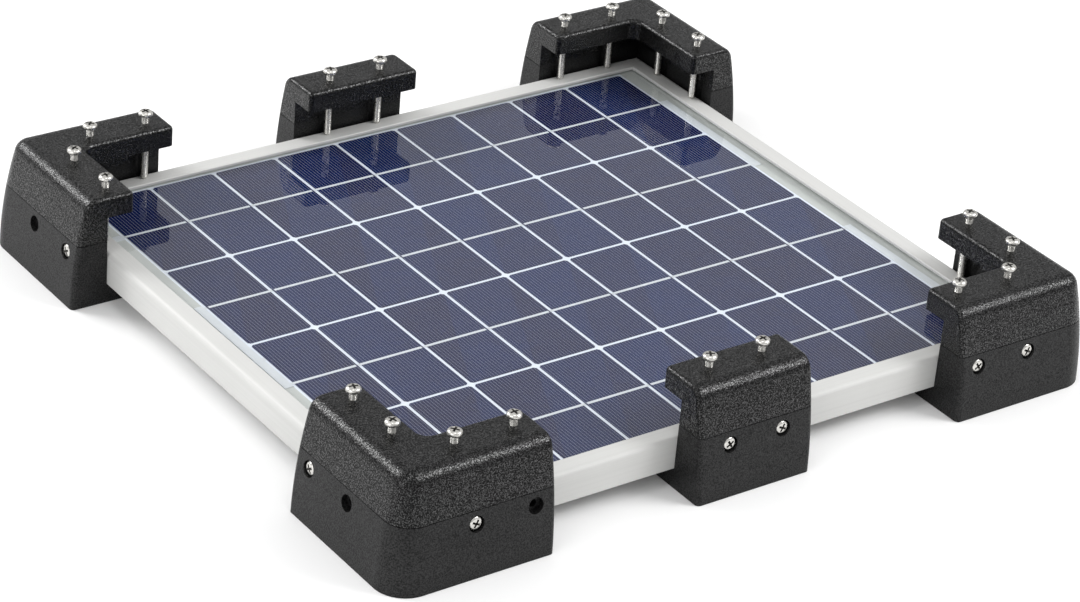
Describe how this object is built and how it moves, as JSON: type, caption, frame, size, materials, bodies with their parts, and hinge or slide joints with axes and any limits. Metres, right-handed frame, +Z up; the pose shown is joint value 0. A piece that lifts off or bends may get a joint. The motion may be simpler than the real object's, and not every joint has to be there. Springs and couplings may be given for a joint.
{
  "type": "solar panel",
  "caption": "Framed polycrystalline solar panel standing in black plastic clamp brackets at its corners and long edges, with clamp screws.",
  "frame": {"origin": "on the ground under the middle of the panel, which is the bottom centre of the bounding box", "axes": "+X along the panel's long edge, +Y along its short edge towards the rear, +Z up through the glass"},
  "size_m": [0.428, 0.391, 0.0674],
  "materials": {
    "frame": "satin clear anodised, fine drawn lines",
    "key": "mill finish",
    "gasket": "matt sealant",
    "glass": "clear low-iron, smooth",
    "encapsulant": "clear",
    "cell": "blue antireflective polycrystalline silicon",
    "ribbon": "bright tinned",
    "backsheet": "white film",
    "box": "matt black",
    "seal": "matt",
    "terminal": "machined",
    "diode": "moulded",
    "gland": "satin black nylon",
    "hood": "pebble-grained satin black",
    "base": "fine matt black",
    "side_screw": "bright",
    "clamp_screw": "bright"
  },
  "bodies": {
    "panel": {"backsheet": "backsheet", "base_front_left": "base", "base_front_right": "base", "base_rear_left": "base", "base_rear_right": "base", "bus_ribbons": "ribbon", "bypass_diode": "diode", "cable_gland": "gland", "cell_string_1": "cell", "cell_string_2": "cell", "cell_string_3": "cell", "cell_string_4": "cell", "corner_keys": "key", "edge_gasket": "gasket", "frame_rail_front": "frame", "frame_rail_left": "frame", "frame_rail_rear": "frame", "frame_rail_right": "frame", "front_encapsulant": "encapsulant", "front_glass": "glass", "hood_front_left": "hood", "hood_front_right": "hood", "hood_rear_left": "hood", "hood_rear_right": "hood", "junction_box_base": "box", "junction_box_lid": "box", "junction_box_seal": "seal", "rear_encapsulant": "encapsulant", "side_screws_front_left": "side_screw", "side_screws_front_right": "side_screw", "side_screws_rear_left": "side_screw", "side_screws_rear_right": "side_screw", "tabbing_ribbons": "ribbon", "terminal_clamps": "terminal"},
    "front_middle_bracket": {"hood_front_middle": "hood", "base_front_middle": "base", "side_screws_front_middle": "side_screw"},
    "rear_middle_bracket": {"hood_rear_middle": "hood", "base_rear_middle": "base", "side_screws_rear_middle": "side_screw"},
    "screw_front_left_long_far": {"clamp_screw_front_left_long_far": "clamp_screw"},
    "screw_front_left_long_near": {"clamp_screw_front_left_long_near": "clamp_screw"},
    "screw_front_left_short_far": {"clamp_screw_front_left_short_far": "clamp_screw"},
    "screw_front_left_short_near": {"clamp_screw_front_left_short_near": "clamp_screw"},
    "screw_front_middle_left": {"clamp_screw_front_middle_left": "clamp_screw"},
    "screw_front_middle_right": {"clamp_screw_front_middle_right": "clamp_screw"},
    "screw_front_right_long_far": {"clamp_screw_front_right_long_far": "clamp_screw"},
    "screw_front_right_long_near": {"clamp_screw_front_right_long_near": "clamp_screw"},
    "screw_front_right_short_far": {"clamp_screw_front_right_short_far": "clamp_screw"},
    "screw_front_right_short_near": {"clamp_screw_front_right_short_near": "clamp_screw"},
    "screw_rear_left_long_far": {"clamp_screw_rear_left_long_far": "clamp_screw"},
    "screw_rear_left_long_near": {"clamp_screw_rear_left_long_near": "clamp_screw"},
    "screw_rear_left_short_far": {"clamp_screw_rear_left_short_far": "clamp_screw"},
    "screw_rear_left_short_near": {"clamp_screw_rear_left_short_near": "clamp_screw"},
    "screw_rear_middle_left": {"clamp_screw_rear_middle_left": "clamp_screw"},
    "screw_rear_middle_right": {"clamp_screw_rear_middle_right": "clamp_screw"},
    "screw_rear_right_long_far": {"clamp_screw_rear_right_long_far": "clamp_screw"},
    "screw_rear_right_long_near": {"clamp_screw_rear_right_long_near": "clamp_screw"},
    "screw_rear_right_short_far": {"clamp_screw_rear_right_short_far": "clamp_screw"},
    "screw_rear_right_short_near": {"clamp_screw_rear_right_short_near": "clamp_screw"}
  },
  "joints": [
    {"name": "front_middle_slide", "type": "slide", "parent": "panel", "child": "front_middle_bracket", "axis": [1, 0, 0], "range_m": [-0.0827, 0.0943]},
    {"name": "rear_middle_slide", "type": "slide", "parent": "panel", "child": "rear_middle_bracket", "axis": [1, 0, 0], "range_m": [-0.0835, 0.0935]},
    {"name": "screw_front_left_long_far_travel", "type": "slide", "parent": "panel", "child": "screw_front_left_long_far", "axis": [0, 0, 1], "range_m": [0, 0.021]},
    {"name": "screw_front_left_long_near_travel", "type": "slide", "parent": "panel", "child": "screw_front_left_long_near", "axis": [0, 0, 1], "range_m": [0, 0.021]},
    {"name": "screw_front_left_short_far_travel", "type": "slide", "parent": "panel", "child": "screw_front_left_short_far", "axis": [0, 0, 1], "range_m": [0, 0.021]},
    {"name": "screw_front_left_short_near_travel", "type": "slide", "parent": "panel", "child": "screw_front_left_short_near", "axis": [0, 0, 1], "range_m": [0, 0.021]},
    {"name": "screw_front_middle_left_travel", "type": "slide", "parent": "front_middle_bracket", "child": "screw_front_middle_left", "axis": [0, 0, 1], "range_m": [0, 0.021]},
    {"name": "screw_front_middle_right_travel", "type": "slide", "parent": "front_middle_bracket", "child": "screw_front_middle_right", "axis": [0, 0, 1], "range_m": [0, 0.021]},
    {"name": "screw_front_right_long_far_travel", "type": "slide", "parent": "panel", "child": "screw_front_right_long_far", "axis": [0, 0, 1], "range_m": [0, 0.021]},
    {"name": "screw_front_right_long_near_travel", "type": "slide", "parent": "panel", "child": "screw_front_right_long_near", "axis": [0, 0, 1], "range_m": [0, 0.021]},
    {"name": "screw_front_right_short_far_travel", "type": "slide", "parent": "panel", "child": "screw_front_right_short_far", "axis": [0, 0, 1], "range_m": [0, 0.021]},
    {"name": "screw_front_right_short_near_travel", "type": "slide", "parent": "panel", "child": "screw_front_right_short_near", "axis": [0, 0, 1], "range_m": [0, 0.021]},
    {"name": "screw_rear_left_long_far_travel", "type": "slide", "parent": "panel", "child": "screw_rear_left_long_far", "axis": [0, 0, 1], "range_m": [0, 0.021]},
    {"name": "screw_rear_left_long_near_travel", "type": "slide", "parent": "panel", "child": "screw_rear_left_long_near", "axis": [0, 0, 1], "range_m": [0, 0.021]},
    {"name": "screw_rear_left_short_far_travel", "type": "slide", "parent": "panel", "child": "screw_rear_left_short_far", "axis": [0, 0, 1], "range_m": [0, 0.021]},
    {"name": "screw_rear_left_short_near_travel", "type": "slide", "parent": "panel", "child": "screw_rear_left_short_near", "axis": [0, 0, 1], "range_m": [0, 0.021]},
    {"name": "screw_rear_middle_left_travel", "type": "slide", "parent": "rear_middle_bracket", "child": "screw_rear_middle_left", "axis": [0, 0, 1], "range_m": [0, 0.021]},
    {"name": "screw_rear_middle_right_travel", "type": "slide", "parent": "rear_middle_bracket", "child": "screw_rear_middle_right", "axis": [0, 0, 1], "range_m": [0, 0.021]},
    {"name": "screw_rear_right_long_far_travel", "type": "slide", "parent": "panel", "child": "screw_rear_right_long_far", "axis": [0, 0, 1], "range_m": [0, 0.021]},
    {"name": "screw_rear_right_long_near_travel", "type": "slide", "parent": "panel", "child": "screw_rear_right_long_near", "axis": [0, 0, 1], "range_m": [0, 0.021]},
    {"name": "screw_rear_right_short_far_travel", "type": "slide", "parent": "panel", "child": "screw_rear_right_short_far", "axis": [0, 0, 1], "range_m": [0, 0.021]},
    {"name": "screw_rear_right_short_near_travel", "type": "slide", "parent": "panel", "child": "screw_rear_right_short_near", "axis": [0, 0, 1], "range_m": [0, 0.021]}
  ]
}
